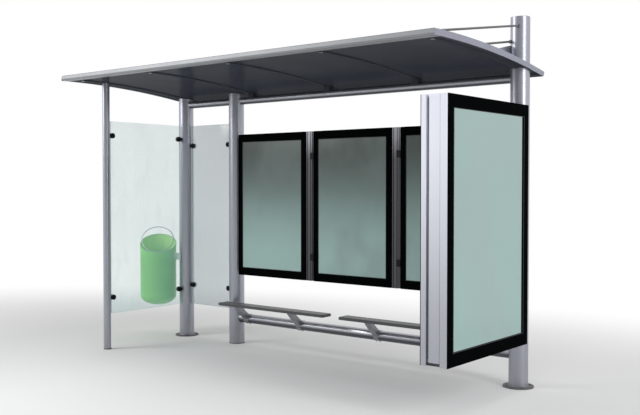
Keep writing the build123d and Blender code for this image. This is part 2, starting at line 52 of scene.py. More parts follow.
TURN = 2 * math.pi
Colour = tuple[float, float, float]
Point = tuple[float, float, float]
Pair = tuple[float, float]
Vector = Point | np.ndarray
Places = np.ndarray | list[Point]


# ---------------------------------------------------------------- shader maths


class Wire:
    """One shader socket that takes part in Python expressions.

    An operator on wires adds the Math node that works it out, so a mask such as
    ``(height * 4.0 - 1.0).clamped()`` reads as it would on numbers.
    """

    def __init__(self, shader: "Shader", socket: bpy.types.NodeSocket) -> None:
        """Remember the material being built and the output socket with the value."""
        self.shader = shader
        self.socket = socket

    def math(self, operation: str, *others: "Wire | float") -> "Wire":
        """The value of one Math node, such as MULTIPLY, on this wire and the others."""
        inputs = dict(enumerate((self, *others)))
        return self.shader.add("ShaderNodeMath", {"operation": operation}, inputs)

    def __add__(self, other: "Wire | float") -> "Wire":
        """Sum."""
        return self.math("ADD", other)

    def __sub__(self, other: "Wire | float") -> "Wire":
        """Difference."""
        return self.math("SUBTRACT", other)

    def __rsub__(self, other: float) -> "Wire":
        """Difference from a number on the left."""
        return self * -1.0 + other

    def __mul__(self, other: "Wire | float") -> "Wire":
        """Product."""
        return self.math("MULTIPLY", other)

    __radd__ = __add__
    __rmul__ = __mul__

    def __abs__(self) -> "Wire":
        """Distance from zero."""
        return self.math("ABSOLUTE")

    def __mod__(self, other: float) -> "Wire":
        """Remainder that stays positive."""
        return self.math("FLOORED_MODULO", other)

    def __lt__(self, other: "Wire | float") -> "Wire":
        """One where this is less, else zero."""
        return self.math("LESS_THAN", other)

    def __gt__(self, other: "Wire | float") -> "Wire":
        """One where this is greater, else zero."""
        return self.math("GREATER_THAN", other)

    def clamped(self) -> "Wire":
        """Cut to the range from zero to one."""
        return self.math("MAXIMUM", 0.0).math("MINIMUM", 1.0)

    def hypot(self, other: "Wire") -> "Wire":
        """Length of the vector whose two parts are this and the other."""
        return (self * self + other * other).math("SQRT")

    def smoothed(self, low: float, high: float) -> "Wire":
        """Ease from zero at low to one at high: 3t^2 - 2t^3 of the clamped share t."""
        share = ((self - low) * (1.0 / (high - low))).clamped()
        return share * share * (3.0 - 2.0 * share)

    def swing(self, amount: float) -> "Wire":
        """The value less a half, times the amount: a noise about a half goes about zero."""
        return (self - 0.5) * amount


class Shader:
    """A node material under construction."""

    def __init__(self, name: str, tree: bpy.types.NodeTree | None = None) -> None:
        """Start an empty material, or take the node tree of a world.

        Args:
            name: The material's name.
            tree: A tree to build in, when it isn't a material's own.
        """
        self.material = None
        if tree is None:
            self.material = bpy.data.materials.new(name)
            self.material.use_nodes = True
            tree = self.material.node_tree
        self.tree = tree
        self.tree.nodes.clear()

    def node(self, kind: str, settings: dict | None = None,
             inputs: dict | None = None) -> bpy.types.Node:
        """Add any node: its settings first, then the values or links of its sockets.

        Args:
            kind: The node's type name.
            settings: Attributes to set.
            inputs: Values or wires for sockets, by index, identifier or name.

        Returns:
            The new node.
        """
        made = self.tree.nodes.new(kind)
        for key, value in (settings or {}).items():
            setattr(made, key, value)
        sockets = dict(enumerate(made.inputs))
        sockets |= {socket.name: socket for socket in made.inputs}
        sockets |= {socket.identifier: socket for socket in made.inputs}
        for key, value in (inputs or {}).items():
            socket = sockets[key]
            if isinstance(value, Wire):
                self.tree.links.new(value.socket, socket)
            elif socket.type == "RGBA":
                socket.default_value = (*value, 1.0)
            else:
                socket.default_value = value
        return made

    def add(self, kind: str, settings: dict | None = None, inputs: dict | None = None,
            output: int | str = 0) -> Wire:
        """Add a node and take one of its outputs.

        Args:
            kind: The node's type name.
            settings: Attributes to set first.
            inputs: Values or wires for its sockets.
            output: Which output is wanted, by index, identifier or name.

        Returns:
            The chosen output as a wire.
        """
        outputs = self.node(kind, settings, inputs).outputs
        by_identifier = {socket.identifier: socket for socket in outputs}
        return Wire(self, by_identifier.get(output) or outputs[output])

    def position(self) -> Wire:
        """The point's place in the piece's own frame, which is the shelter's frame."""
        return self.add("ShaderNodeTexCoord", output="Object")

    def parts(self, vector: Wire) -> list[Wire]:
        """Split a vector into wires for its x, y and z."""
        made = self.node("ShaderNodeSeparateXYZ", inputs={0: vector})
        return [Wire(self, socket) for socket in made.outputs]

    def noise(self, scale: float, detail: float = 3.0, stretch: Point = (1.0, 1.0, 1.0)) -> Wire:
        """Smooth random values in space.

        Args:
            scale: Features for each metre.
            detail: Octaves.
            stretch: Factors on the coordinates; a small one makes streaks along that axis.

        Returns:
            A value about 0.5.
        """
        place = self.add("ShaderNodeVectorMath", {"operation": "MULTIPLY"},
                         {0: self.position(), 1: stretch})
        return self.add("ShaderNodeTexNoise",
                        inputs={"Vector": place, "Scale": scale, "Detail": detail})

    def blend(self, share: Wire, first: Wire | Colour, second: Wire | Colour) -> Wire:
        """Mix two colours: the first where the share is zero, the second where it is one."""
        return self.add("ShaderNodeMix", {"data_type": "RGBA"},
                        {"Factor_Float": share, "A_Color": first, "B_Color": second},
                        "Result_Color")

    def varied(self, share: Wire, colour: Colour, factor: float) -> Wire:
        """Mix a colour with a share of a copy that is brighter by the factor."""
        return self.blend(share, colour, tuple(factor * part for part in colour))

    def bump(self, height: Wire, distance: float) -> Wire:
        """Bend the normal by heights, one unit of which is the distance in metres."""
        return self.add("ShaderNodeBump", inputs={"Height": height, "Distance": distance})

    def principled(self, **inputs: object) -> Wire:
        """Add a Principled shader; the sockets' spaces are written as underscores."""
        named = {key.replace("_", " "): value for key, value in inputs.items()}
        return self.add("ShaderNodeBsdfPrincipled", inputs=named)

    def closed(self, surface: Wire, kind: str = "Material") -> bpy.types.Material | None:
        """Link a shader to the output of its Material or World and give the material."""
        self.node(f"ShaderNodeOutput{kind}", inputs={"Surface": surface})
        return self.material

    def surface(self, **inputs: object) -> bpy.types.Material:
        """Close the material with a Principled shader and give it."""
        return self.closed(self.principled(**inputs))


# ---------------------------------------------------------------- finishes


EVERYWHERE = 9.0
BLACK: Colour = (0.0018, 0.0022, 0.0024)
BLACK_SHEEN = 0.0008
STREAK_SCALE = 420.0
STREAK_HEIGHT = 0.00007


@dataclass(frozen=True)
class Finish:
    """A named finish that builds one node material."""

    name: str

    def build(self) -> bpy.types.Material:
        """Build the material; every kind of finish does it in its own way."""
        raise NotImplementedError


@dataclass(frozen=True)
class SatinSteel(Finish):
    """Silver-grey satin paint on steel tube, dustier near the ground."""

    colour: Colour = (0.385, 0.396, 0.447)
    roughness: float = 0.34
    metallic: float = 0.86
    dust_top: float = 0.35
    # Painted shade: below this height a level tube's underside is darkened to the dark colour two
    # lines down.
    painted_shade_z: float = -EVERYWHERE
    dust: Colour = (0.30, 0.29, 0.27)
    painted_shade: Colour = (0.06, 0.06, 0.075)

    def build(self) -> bpy.types.Material:
        """Build the paint; below a given height a level tube's underside is darkened as painted
        shade.

        Returns:
            A material with cloudy gloss, fine flake and a film of dust that fades upwards.
        """
        shader = Shader(self.name)
        cloud = shader.noise(3.0, 4.0)
        height = shader.parts(shader.position())[2]
        dust = (1.0 - height.smoothed(0.0, self.dust_top)) * cloud * 0.35
        # Painted shade along the underside of a level tube.
        painted_shade = 1.0 - height.smoothed(self.painted_shade_z - 0.012, self.painted_shade_z + 0.008)
        tint = shader.varied(cloud.smoothed(0.35, 0.7) * 0.25, self.colour, 0.82)
        tint = shader.blend(dust, tint, self.dust)
        return shader.surface(
            Base_Color=shader.blend(painted_shade * 0.8, tint, self.painted_shade),
            Metallic=self.metallic,
            Roughness=self.roughness + cloud.swing(0.06) + dust * 0.6,
            Normal=shader.bump(shader.noise(300.0, 2.0), 0.000003),
        )


class Axis(Enum):
    """The axis along which an extrusion was drawn, as factors that stretch its die lines."""

    X = (0.02, 1.0, 1.0)
    Y = (1.0, 0.02, 1.0)
    Z = (1.0, 1.0, 0.02)


@dataclass(frozen=True)
class Anodised(Finish):
    """Satin anodised aluminium profile with faint die lines."""

    colour: Colour
    roughness: float
    metallic: float = 0.5
    axis: Axis = Axis.X

    def build(self) -> bpy.types.Material:
        """Build the metal.

        Returns:
            A material whose streaks run along the profile.
        """
        shader = Shader(self.name)
        streak = shader.noise(STREAK_SCALE, 2.0, self.axis.value)
        cloud = shader.noise(2.2, 3.0)
        return shader.surface(
            Base_Color=shader.varied(cloud.smoothed(0.3, 0.75) * 0.3, self.colour, 0.86),
            Metallic=self.metallic,
            Roughness=self.roughness + streak.swing(0.10) + cloud.swing(0.10),
            Normal=shader.bump(streak, STREAK_HEIGHT),
        )


@dataclass(frozen=True)
class CaseProfile(Finish):
    """Pale anodised profiles of the cases, with a painted sky reflection: brighter high up, darker
    low down.
    """

    colour: Colour = (0.885, 0.91, 1.0)
    low_share: float = 0.49
    low_z: float = 0.40
    high_z: float = 2.20
    # The recess and sill colours below are painted shade.
    recess_x: Pair = (-0.0525, 0.0120)
    recess: Colour = (0.10, 0.10, 0.13)
    sill_x: Pair = (-0.0645, 0.0525)
    sill_z: float = 0.4205
    sill: Colour = (0.030, 0.030, 0.040)

    def build(self) -> bpy.types.Material:
        """Build the metal.

        The recess beside the inner door, given by its middle and half its width, is darkened as
        painted shade, and the sill under the body is painted near black as painted shade for the
        shadowed slot there.

        Returns:
            A graded material with upright die lines.
        """
        shader = Shader(self.name)
        streak = shader.noise(STREAK_SCALE, 2.0, Axis.Z.value)
        x, _, z = shader.parts(shader.position())
        middle, half = self.recess_x
        recess = 1.0 - abs(x - middle).smoothed(half, half + 0.0005)
        sill = (z < self.sill_z) * (x > self.sill_x[0]) * (x < self.sill_x[1])
        low = tuple(self.low_share * part for part in self.colour)
        # Painted reflection: darker low down and brighter high up.
        tint = shader.blend(z.smoothed(self.low_z, self.high_z), low, self.colour)
        # Painted shade in the recess beside the inner door.
        tint = shader.blend(recess * 0.85, tint, self.recess)
        return shader.surface(
            # Painted shade: the sill under the body is near black.
            Base_Color=shader.blend(sill * 0.95, tint, self.sill),
            Metallic=0.45,
            Roughness=0.38 + streak.swing(0.10),
            Normal=shader.bump(streak, STREAK_HEIGHT),
        )


@dataclass(frozen=True)
class SmokedSheet(Finish):
    """Dark smoked plastic roofing with a gloss that dust has dulled in places."""

    colour: Colour = (0.030, 0.034, 0.042)
    roughness: float = 0.16
    specular: float = 0.5
    wave: float = 0.004

    def build(self) -> bpy.types.Material:
        """Build the sheet.

        Returns:
            A dark glossy material with long soft waves and a little dust.
        """
        shader = Shader(self.name)
        cloud = shader.noise(1.6, 4.0)
        dust = shader.noise(26.0, 4.0).smoothed(0.45, 0.8) * 0.35
        share = dust * 0.2 + cloud.smoothed(0.4, 0.75) * 0.2
        return shader.surface(
            Base_Color=shader.varied(share, self.colour, 2.2),
            Roughness=self.roughness + dust * 0.25 + cloud.swing(0.1),
            Specular_IOR_Level=self.specular,
            Normal=shader.bump(shader.noise(1.1, 0.0, (1.0, 0.45, 1.0)), self.wave),
        )


@dataclass(frozen=True)
class ScreenGlass(Finish):
    """Toughened glass: pale and nearly clear on its faces, green and denser on its edges."""

    face: Colour
    cover: float
    face_axis: int
    edge: Colour = (0.22, 0.42, 0.36)

    def build(self) -> bpy.types.Material:
        """Build the glass.

        Returns:
            A glossy material whose alpha is low on the broad faces and high on the edges.
        """
        shader = Shader(self.name)
        facing = shader.parts(shader.add("ShaderNodeTexCoord", output="Normal"))[self.face_axis]
        edge = 1.0 - abs(facing).smoothed(0.3, 0.8)
        cloud = shader.noise(1.4, 3.0)
        smear = shader.noise(9.0, 5.0, (1.0, 1.0, 0.35)).smoothed(0.5, 0.85)
        return shader.surface(
            Base_Color=shader.blend(edge, self.face, self.edge),
            Alpha=(edge * 0.55 + self.cover + cloud.swing(0.10) + smear * 0.05).clamped(),
            Roughness=0.04 + smear * 0.10,
            Specular_IOR_Level=0.5,
            Normal=shader.bump(cloud, 0.0002),
        )


@dataclass(frozen=True)
class GlossPaint(Finish):
    """Smooth dark paint with the slight orange peel of a sprayed coat."""

    colour: Colour = BLACK
    roughness: float = 0.35
    specular: float = BLACK_SHEEN
    back_y: float = EVERYWHERE
    back: Colour = (0.055, 0.057, 0.060)
    wipe: Colour = (0.10, 0.10, 0.10)

    def build(self) -> bpy.types.Material:
        """Build the paint; behind back_y the sheet has a grey priming coat instead.

        Returns:
            A dark material with a very shallow ripple and faint wipe marks.
        """
        shader = Shader(self.name)
        place_y = shader.parts(shader.position())[1]
        paint = shader.blend(place_y > self.back_y, self.colour, self.back)
        wipe = shader.noise(7.0, 5.0, (0.3, 0.3, 1.0)).smoothed(0.5, 0.8)
        return shader.surface(
            Base_Color=shader.blend(wipe * 0.008, paint, self.wipe),
            Roughness=self.roughness + wipe * 0.12,
            Specular_IOR_Level=self.specular,
            Normal=shader.bump(shader.noise(260.0, 2.0), 0.00005),
        )


@dataclass(frozen=True)
class GlazedPrint(Finish):
    """A bare pale sheet behind gloss glazing, shaded from its top to its bottom."""

    top: Colour
    bottom: Colour
    top_z: float
    bottom_z: float
    drift: Colour
    roughness: float = 0.16
    print_y: Pair = (-EVERYWHERE, EVERYWHERE)
    print_z: float = -EVERYWHERE

    def build(self) -> bpy.types.Material:
        """Build the sheet.

        Outside the two places given by print_y, and under print_z, the glazing carries a
        black printed edge.

        Returns:
            A material graded along the height, with broad cloudy drift and no picture.
        """
        shader = Shader(self.name)
        _, place_y, height = shader.parts(shader.position())
        cloud = shader.noise(1.5, 3.0, (1.0, 1.0, 0.7))
        fibre = shader.noise(60.0, 3.0)
        share = (height + cloud.swing(0.35)).smoothed(self.bottom_z, self.top_z)
        tint = shader.blend(share, self.bottom, self.top)
        tint = shader.blend(cloud.smoothed(0.45, 0.65) * 0.45 + fibre.swing(0.08), tint, self.drift)
        edge = (place_y < self.print_y[0]) + (place_y > self.print_y[1]) + (height < self.print_z)
        glazing = shader.principled(
            Base_Color=tint,
            Roughness=self.roughness + cloud.swing(0.06),
            Specular_IOR_Level=0.30,
            Coat_Weight=0.10 + cloud.swing(0.1),
            Coat_Roughness=0.03,
        )
        black = shader.principled(Base_Color=BLACK, Roughness=0.35, Specular_IOR_Level=BLACK_SHEEN)
        return shader.closed(shader.add("ShaderNodeMixShader",
                                        inputs={0: edge.clamped(), 1: glazing, 2: black}))


@dataclass(frozen=True)
class PowderCoat(Finish):
    """Textured powder coat, scuffed to a lighter shade where the noise is high."""

    colour: Colour
    roughness: float
    grain: float = 480.0
    relief: float = 0.00025
    scuff: Colour = (0.3, 0.3, 0.29)

    def build(self) -> bpy.types.Material:
        """Build the coat.

        Returns:
            A fine-grained material with a few dull scuffs.
        """
        shader = Shader(self.name)
        grain = shader.noise(self.grain, 2.0)
        scuff = shader.noise(34.0, 6.0, (1.0, 1.0, 0.5)).smoothed(0.62, 0.8)
        tint = shader.varied(shader.noise(4.0, 4.0) * 0.3, self.colour, 0.8)
        return shader.surface(
            Base_Color=shader.blend(scuff * 0.25, tint, self.scuff),
            Roughness=self.roughness + grain.swing(0.15) + scuff * 0.1,
            Normal=shader.bump(grain, self.relief),
        )


@dataclass(frozen=True)
class PunchedCoat(Finish):
    """Powder-coated sheet of the litter bin, with rows of small punched holes."""

    axis_xy: Pair
    wall: float = 0.203
    colour: Colour = (0.24, 0.655, 0.125)
    # Painted light: the inside of the mouth is coloured lighter than the outside.
    inside: Colour = (0.58, 0.96, 0.29)
    hole: Colour = (0.04, 0.12, 0.05)
    hole_rows: float = 0.022
    holes_round: int = 56
    low: float = 0.50
    high: float = 0.895
    fade: float = 0.004
    dot: Pair = (0.17, 0.24)

    def build(self) -> bpy.types.Material:
        """Build the sheet.

        The angle round the bin and the height are divided into cells, every second row is
        shifted by half a cell, and a round dot of each cell reads as a hole.

        Returns:
            A green material with dark dots where the sheet is punched.
        """
        shader = Shader(self.name)
        x, y, z = shader.parts(shader.position())
        out_x, out_y = x - self.axis_xy[0], y - self.axis_xy[1]
        inner = (out_x.hypot(out_y) < self.wall) * (z > self.high)
        row = z * (1.0 / self.hole_rows)
        shift = row.math("FLOOR") % 2.0 * 0.5
        across = (out_y.math("ARCTAN2", out_x) * (self.holes_round / TURN) + shift) % 1.0 - 0.5
        zone = (z.smoothed(self.low, self.low + self.fade)
                * (1.0 - z.smoothed(self.high - self.fade, self.high)))
        hole = (1.0 - across.hypot(row % 1.0 - 0.5).smoothed(*self.dot)) * zone
        grain = shader.noise(STREAK_SCALE, 2.0)
        tint = shader.varied(shader.noise(5.0, 4.0) * 0.35, self.colour, 0.78)
        # Painted light on the inner face of the mouth.
        tint = shader.blend(inner, tint, self.inside)
        return shader.surface(
            Base_Color=shader.blend(hole * 0.6, tint, self.hole),
            Roughness=0.42 + grain.swing(0.15),
            Normal=shader.bump(grain * 0.15 - hole, 0.0008),
        )


@dataclass(frozen=True)
class Rubber(Finish):
    """Black glazing rubber with a dry bloom."""

    colour: Colour = (0.018, 0.018, 0.019)
    bloom: Colour = (0.06, 0.06, 0.06)

    def build(self) -> bpy.types.Material:
        """Build the rubber.

        Returns:
            A dull dark material.
        """
        shader = Shader(self.name)
        bloom = shader.noise(40.0, 4.0)
        return shader.surface(
            Base_Color=shader.blend(bloom.smoothed(0.45, 0.8) * 0.4, self.colour, self.bloom),
            Roughness=0.62 + bloom.swing(0.2),
            Normal=shader.bump(bloom, 0.0002),
        )


@dataclass(frozen=True)
class Fastener(Finish):
    """Zinc-plated or stainless small hardware with rubbed edges."""

    colour: Colour = (0.50, 0.50, 0.51)
    roughness: float = 0.30

    def build(self) -> bpy.types.Material:
        """Build the metal.

        Returns:
            A bright metal with fine mottling.
        """
        shader = Shader(self.name)
        mottle = shader.noise(240.0, 3.0)
        return shader.surface(
            Base_Color=shader.varied(mottle * 0.5, self.colour, 0.7),
            Metallic=1.0,
            Roughness=self.roughness + mottle.swing(0.2),
            Normal=shader.bump(mottle, 0.00008),
        )


# ---------------------------------------------------------------- surfaces


RIGHT: Point = (1.0, 0.0, 0.0)
REAR: Point = (0.0, 1.0, 0.0)
UP: Point = (0.0, 0.0, 1.0)


def rows(x: float | np.ndarray, y: float | np.ndarray, z: float | np.ndarray) -> np.ndarray:
    """Put three coordinates side by side, numbers or arrays that broadcast together."""
    parts = [np.asarray(part, float) for part in (x, y, z)]
    return np.stack(np.broadcast_arrays(*parts), axis=-1)


def circle(centre: Point, radius: float, steps: int, start: float = 0.0,
           upright: bool = False) -> np.ndarray:
    """A circle of points: r cos a along its first axis and r sin a along its second.

    Args:
        centre: Its centre.
        radius: Its radius.
        steps: How many points.
        start: The angle of the first one.
        upright: Whether its axes are y and z rather than x and y.

    Returns:
        Rows of points.
    """
    angle = start + np.arange(steps) * (TURN / steps)
    first, second = radius * np.cos(angle), radius * np.sin(angle)
    return (rows(0.0, first, second) if upright else rows(first, second, 0.0)) + centre


@dataclass
class Surface:
    """Points and quads of one or more surfaces, worked out as whole arrays."""

    points: np.ndarray
    quads: np.ndarray

    @classmethod
    def grid(cls, points: np.ndarray, close_u: bool = False, close_v: bool = False,
             cap: bool = False) -> "Surface":
        """Join a grid of points into quads.

        Args:
            points: An array of rows by columns by three.
            close_u: Whether the last row joins the first.
            close_v: Whether the last column joins the first.
            cap: Whether the first and last rows close to their middles.

        Returns:
            The surface over the grid.
        """
        if cap:
            middles = np.repeat(points[[0, -1]].mean(axis=1, keepdims=True), points.shape[1], 1)
            points = np.concatenate([middles[:1], points, middles[1:]])
        count, columns = points.shape[:2]
        u = np.arange(count if close_u else count - 1)[:, None]
        v = np.arange(columns if close_v else columns - 1)[None, :]
        next_u, next_v = (u + 1) % count, (v + 1) % columns
        corners = (u * columns + v, next_u * columns + v,
                   next_u * columns + next_v, u * columns + next_v)
        quads = np.stack(np.broadcast_arrays(*corners), axis=-1).reshape(-1, 4)
        return cls(points.reshape(-1, 3), quads)

    @classmethod
    def turned(cls, profile: tuple[Pair, ...] | np.ndarray, sides: int = 24) -> "Surface":
        """Turn a profile about the z axis: (r cos a, r sin a, z) for each angle a.

        Args:
            profile: Pairs of radius and height, from the bottom up.
            sides: Steps round the axis; six give a hexagon.

        Returns:
            The turned surface about the origin.
        """
        angle = np.arange(sides) * (TURN / sides)
        radius, height = np.hsplit(np.asarray(profile, float), 2)
        return cls.grid(rows(radius * np.cos(angle), radius * np.sin(angle), height), close_v=True)

    @classmethod
    def swept(cls, path: np.ndarray, radius: float, sides: int = 8, closed: bool = True,
              squash: float = 1.0, up: Point = UP) -> "Surface":
        """Carry an ellipse along a path: p + r (n cos a + s b sin a) at each point p.

        The tangent comes from central differences, b is the part of ``up`` square to it,
        and n is their cross product.

        Args:
            path: Rows of points.
            radius: Half width across ``up``.
            sides: Steps round the section.
            closed: Whether the path returns to its start.
            squash: The section's height along ``up`` for each unit of width.
            up: The direction that sets the section's turn.

        Returns:
            The swept tube; an open one ends in flat caps.
        """
        if closed:
            tangent = np.roll(path, -1, axis=0) - np.roll(path, 1, axis=0)
        else:
            tangent = np.gradient(path, axis=0)
        tangent /= np.linalg.norm(tangent, axis=1, keepdims=True)
        above = np.asarray(up) - tangent * (tangent @ np.asarray(up))[:, None]
        above /= np.linalg.norm(above, axis=1, keepdims=True)
        angle = (np.arange(sides) * (TURN / sides))[:, None]
        ring = (np.cross(above, tangent)[:, None] * np.cos(angle)
                + above[:, None] * squash * np.sin(angle))
        return cls.grid(path[:, None] + radius * ring, closed, True, cap=not closed)

    @classmethod
    def bead(cls, centre: Vector, size: Pair, corner: float, radius: float, squash: float,
             up: Point, sides: int = 8) -> "Surface":
        """A bead along a rounded rectangle that stands upright, square to ``up``.

        Each corner is a quarter circle: its centre + c (cos a, sin a), six points a corner.

        Args:
            centre: The rectangle's centre.
            size: Its full width and height.
            corner: Its corner radius c.
            radius: Half the bead's width.
            squash: The bead's rise for each unit of that.
            up: The way it faces, along x or y.
            sides: Steps round the bead.

        Returns:
            The closed bead.
        """
        turn = np.linspace(0, TURN / 4, 6)[None] + np.arange(4)[:, None] * TURN / 4
        middles = (np.array([(1, 1), (-1, 1), (-1, -1), (1, -1)])
                   * [length / 2 - corner for length in size])
        loop = middles[:, None] + corner * np.stack([np.cos(turn), np.sin(turn)], axis=-1)
        across, along = loop.reshape(-1, 2).T
        return cls.swept(rows(across * up[1], across * up[0], along) + centre, radius, sides,
                         squash=squash, up=up)

    def placed(self, places: Places, axis: Vector) -> "Surface":
        """Repeat the surface at points, its z axis turned to one direction.

        Each copy is R p + t, where R's columns are two axes square to the direction and
        the direction itself.

        Args:
            places: Points, or one point.
            axis: The direction.

        Returns:
            All copies as one surface.
        """
        z = np.asarray(axis, float) / np.linalg.norm(axis)
        x = np.cross(UP if abs(z[2]) < 0.9 else REAR, z)
        x /= np.linalg.norm(x)
        places = np.atleast_2d(places)
        copies = self.points @ np.stack([x, np.cross(z, x), z]) + places[:, None]
        offset = np.arange(len(places))[:, None, None] * len(self.points)
        return Surface(copies.reshape(-1, 3), (self.quads[None] + offset).reshape(-1, 4))

    @staticmethod
    def joined(surfaces: list["Surface"]) -> "Surface":
        """Put several surfaces into one.

        Args:
            surfaces: The surfaces, in order.

        Returns:
            One surface that holds them all.
        """
        starts = np.cumsum([0] + [len(part.points) for part in surfaces[:-1]])
        quads = [part.quads + start for part, start in zip(surfaces, starts)]
        return Surface(np.concatenate([part.points for part in surfaces]), np.concatenate(quads))


DOME = np.array([(0.0, 0.0), (1.0, 0.0), (1.0, 0.12), (0.92, 0.42), (0.72, 0.72),
                 (0.40, 0.94), (0.0, 1.0)])


def domed_head(radius: float, height: float, sides: int) -> Surface:
    """A low button head on z = 0: the dome profile scaled to a radius and a height."""
    return Surface.turned(DOME * (radius, height), sides)


def linked(name: str, data: bpy.types.ID) -> bpy.types.Object:
    """Make an object and put it in the scene.

    Args:
        name: Its name.
        data: Its mesh, light or camera.

    Returns:
        The object.
    """
    made = bpy.data.objects.new(name, data)
    bpy.context.scene.collection.objects.link(made)
    return made


class Maker:
    """Turns surfaces into pieces that ride on the shelter and wear a finish."""

    MERGE = 1e-5
    SLIVER = 1e-6

    def __init__(self) -> None:
        """Start with no finish built."""
        self.finished: dict[str, bpy.types.Material] = {}

    def material(self, finish: Finish) -> bpy.types.Material:
        """Build a finish once.

        Args:
            finish: The finish.

        Returns:
            Its material.
        """
        if finish.name not in self.finished:
            self.finished[finish.name] = finish.build()
        return self.finished[finish.name]

    def dress(self, finish: Finish, *nodes: str) -> None:
        """Give CAD nodes a finish.

        Args:
            finish: The finish.
            nodes: Names of nodes.
        """
        for node in nodes:
            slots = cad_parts[node].data.materials
            slots.clear()
            slots.append(self.material(finish))

    def piece(self, name: str, surface: Surface, finish: Finish,
              smooth_angle: float = 35.0) -> None:
        """Make one piece from a surface.

        Doubles are merged, so seams and poles close, and the faces are turned outwards.

        Args:
            name: The piece's name.
            surface: Its points and quads.
            finish: Its finish.
            smooth_angle: Edges sharper than this stay sharp, in degrees.
        """
        mesh = bpy.data.meshes.new(name)
        mesh.from_pydata(surface.points.tolist(), [], surface.quads.tolist())
        work = bmesh.new()
        work.from_mesh(mesh)
        bmesh.ops.remove_doubles(work, verts=work.verts, dist=self.MERGE)
        bmesh.ops.dissolve_degenerate(work, edges=work.edges, dist=self.SLIVER)
        bmesh.ops.recalc_face_normals(work, faces=work.faces)
        for face in work.faces:
            face.smooth = True
        for edge in work.edges:
            edge.smooth = edge.calc_face_angle(0.0) < math.radians(smooth_angle)
        work.to_mesh(mesh)
        work.free()
        mesh.materials.append(self.material(finish))
        made = linked(name, mesh)
        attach(made, "root")
        LOG.info("piece %s: %d faces", name, len(mesh.polygons))


# ---------------------------------------------------------------- sub-assemblies


POST_PAINT = SatinSteel("post_paint")
# The foot plates are real; their near-black paint is painted shade for the shadow round the post
# feet, and the anchor heads share it.
PLATE_PAINT = SatinSteel("foot_plate_paint", (0.085, 0.085, 0.095), 0.50, 0.3, 0.5)
# The beam and the bench tube have painted shade along their undersides.
BEAM_PAINT = SatinSteel("beam_paint", (0.36, 0.365, 0.40), 0.38, painted_shade_z=2.619)
TUBE_PAINT = SatinSteel("bench_tube_paint", (0.36, 0.365, 0.40), 0.30, painted_shade_z=0.280)
ROOF_METAL = Anodised("roof_profile_metal", (0.32, 0.33, 0.345), 0.46)
FASCIA_METAL = Anodised("fascia_metal", (0.297, 0.309, 0.372), 0.45, axis=Axis.Y)
RIB_PAINT = GlossPaint("rib_paint", (0.052, 0.057, 0.070), 0.50, 0.002)
CASE_METAL = CaseProfile("case_profile_metal")
BLACK_GLOSS = GlossPaint("case_black_gloss")
BLACK_SATIN = GlossPaint("clamp_black_satin", (0.004, 0.004, 0.005), 0.45, 0.15)
GASKET = Rubber("glazing_rubber")
ZINC = Fastener("bright_hardware")
POST_RADIUS = 0.0825
ROUNDED = 60.0
WELDED = 80.0


@dataclass
class Posts:
    """The four posts, their feet, the beam between them and the welds that join them."""

    front_radius: float = 0.038
    front_y: float = -1.125
    left_x: float = -4.15
    middle_x: float = -3.35
    beam_radius: float = 0.038
    beam_z: float = 2.634
    plate_top: float = 0.012
    anchor_circle: float = 0.107
    bead: float = 0.0035

    def saddle(self, post_x: float, way: float, z: float, radius: float) -> np.ndarray:
        """Where a level tube along x meets a post of the rear row.

        On the tube y = r cos a and the height is z + r sin a; the post's wall puts x at
        the post's x plus or minus sqrt(R^2 - y^2).

        Args:
            post_x: The post's x.
            way: Plus one for the post's right side, minus one for its left.
            z: The tube's height.
            radius: The tube's radius.

        Returns:
            Rows of points on the closed curve.
        """
        ring = circle((post_x, 0.0, z), radius, 36, upright=True)
        ring[:, 0] += way * np.sqrt(POST_RADIUS**2 - ring[:, 1] ** 2)
        return ring

    def anchors(self) -> Surface:
        """Button heads of the ground anchors on the two wide plates.

        Returns:
            Eight heads on their washers.
        """
        centres = np.concatenate([circle((x, 0.0, self.plate_top), self.anchor_circle, 4, TURN / 8)
                                  for x in (self.left_x, 0.0)])
        washer = Surface.turned(((0, 0), (0.016, 0), (0.016, 0.0022), (0, 0.0026)))
        return Surface.joined([washer.placed(centres, UP),
                               domed_head(0.013, 0.0085, 24).placed(centres, UP)])

    def welds(self) -> Surface:
        """Beads round the feet and where the beam meets the posts.

        Returns:
            All beads as one surface.
        """
        proud, gap = self.plate_top + 0.001, 0.0005
        feet = ((self.left_x, 0.0, proud, POST_RADIUS + gap, self.bead),
                (self.middle_x, 0.0, self.plate_top, POST_RADIUS, self.bead),
                (0.0, 0.0, proud, POST_RADIUS + gap, self.bead),
                (self.left_x, self.front_y, proud, self.front_radius + gap, 0.6 * self.bead))
        meets = ((self.left_x, 1), (self.middle_x, -1), (self.middle_x, 1), (0.0, -1))
        beads = [Surface.swept(circle((x, y, z), radius, 48), bead)
                 for x, y, z, radius, bead in feet]
        beads += [Surface.swept(self.saddle(x, way, self.beam_z, self.beam_radius), self.bead,
                                up=RIGHT) for x, way in meets]
        return Surface.joined(beads)

    def build(self, maker: Maker) -> None:
        """Paint the posts, feet and beam and add the anchors and welds.

        Args:
            maker: The piece maker.
        """
        maker.dress(POST_PAINT, "post_rear_left", "post_rear_middle", "post_rear_right",
                    "post_front_left")
        maker.dress(BEAM_PAINT, "rear_beam_left", "rear_beam_right")
        maker.dress(PLATE_PAINT, "base_plates", "foot_collars")
        maker.piece("foot_anchor_heads", self.anchors(), PLATE_PAINT)
        maker.piece("post_weld_beads", self.welds(), POST_PAINT, WELDED)


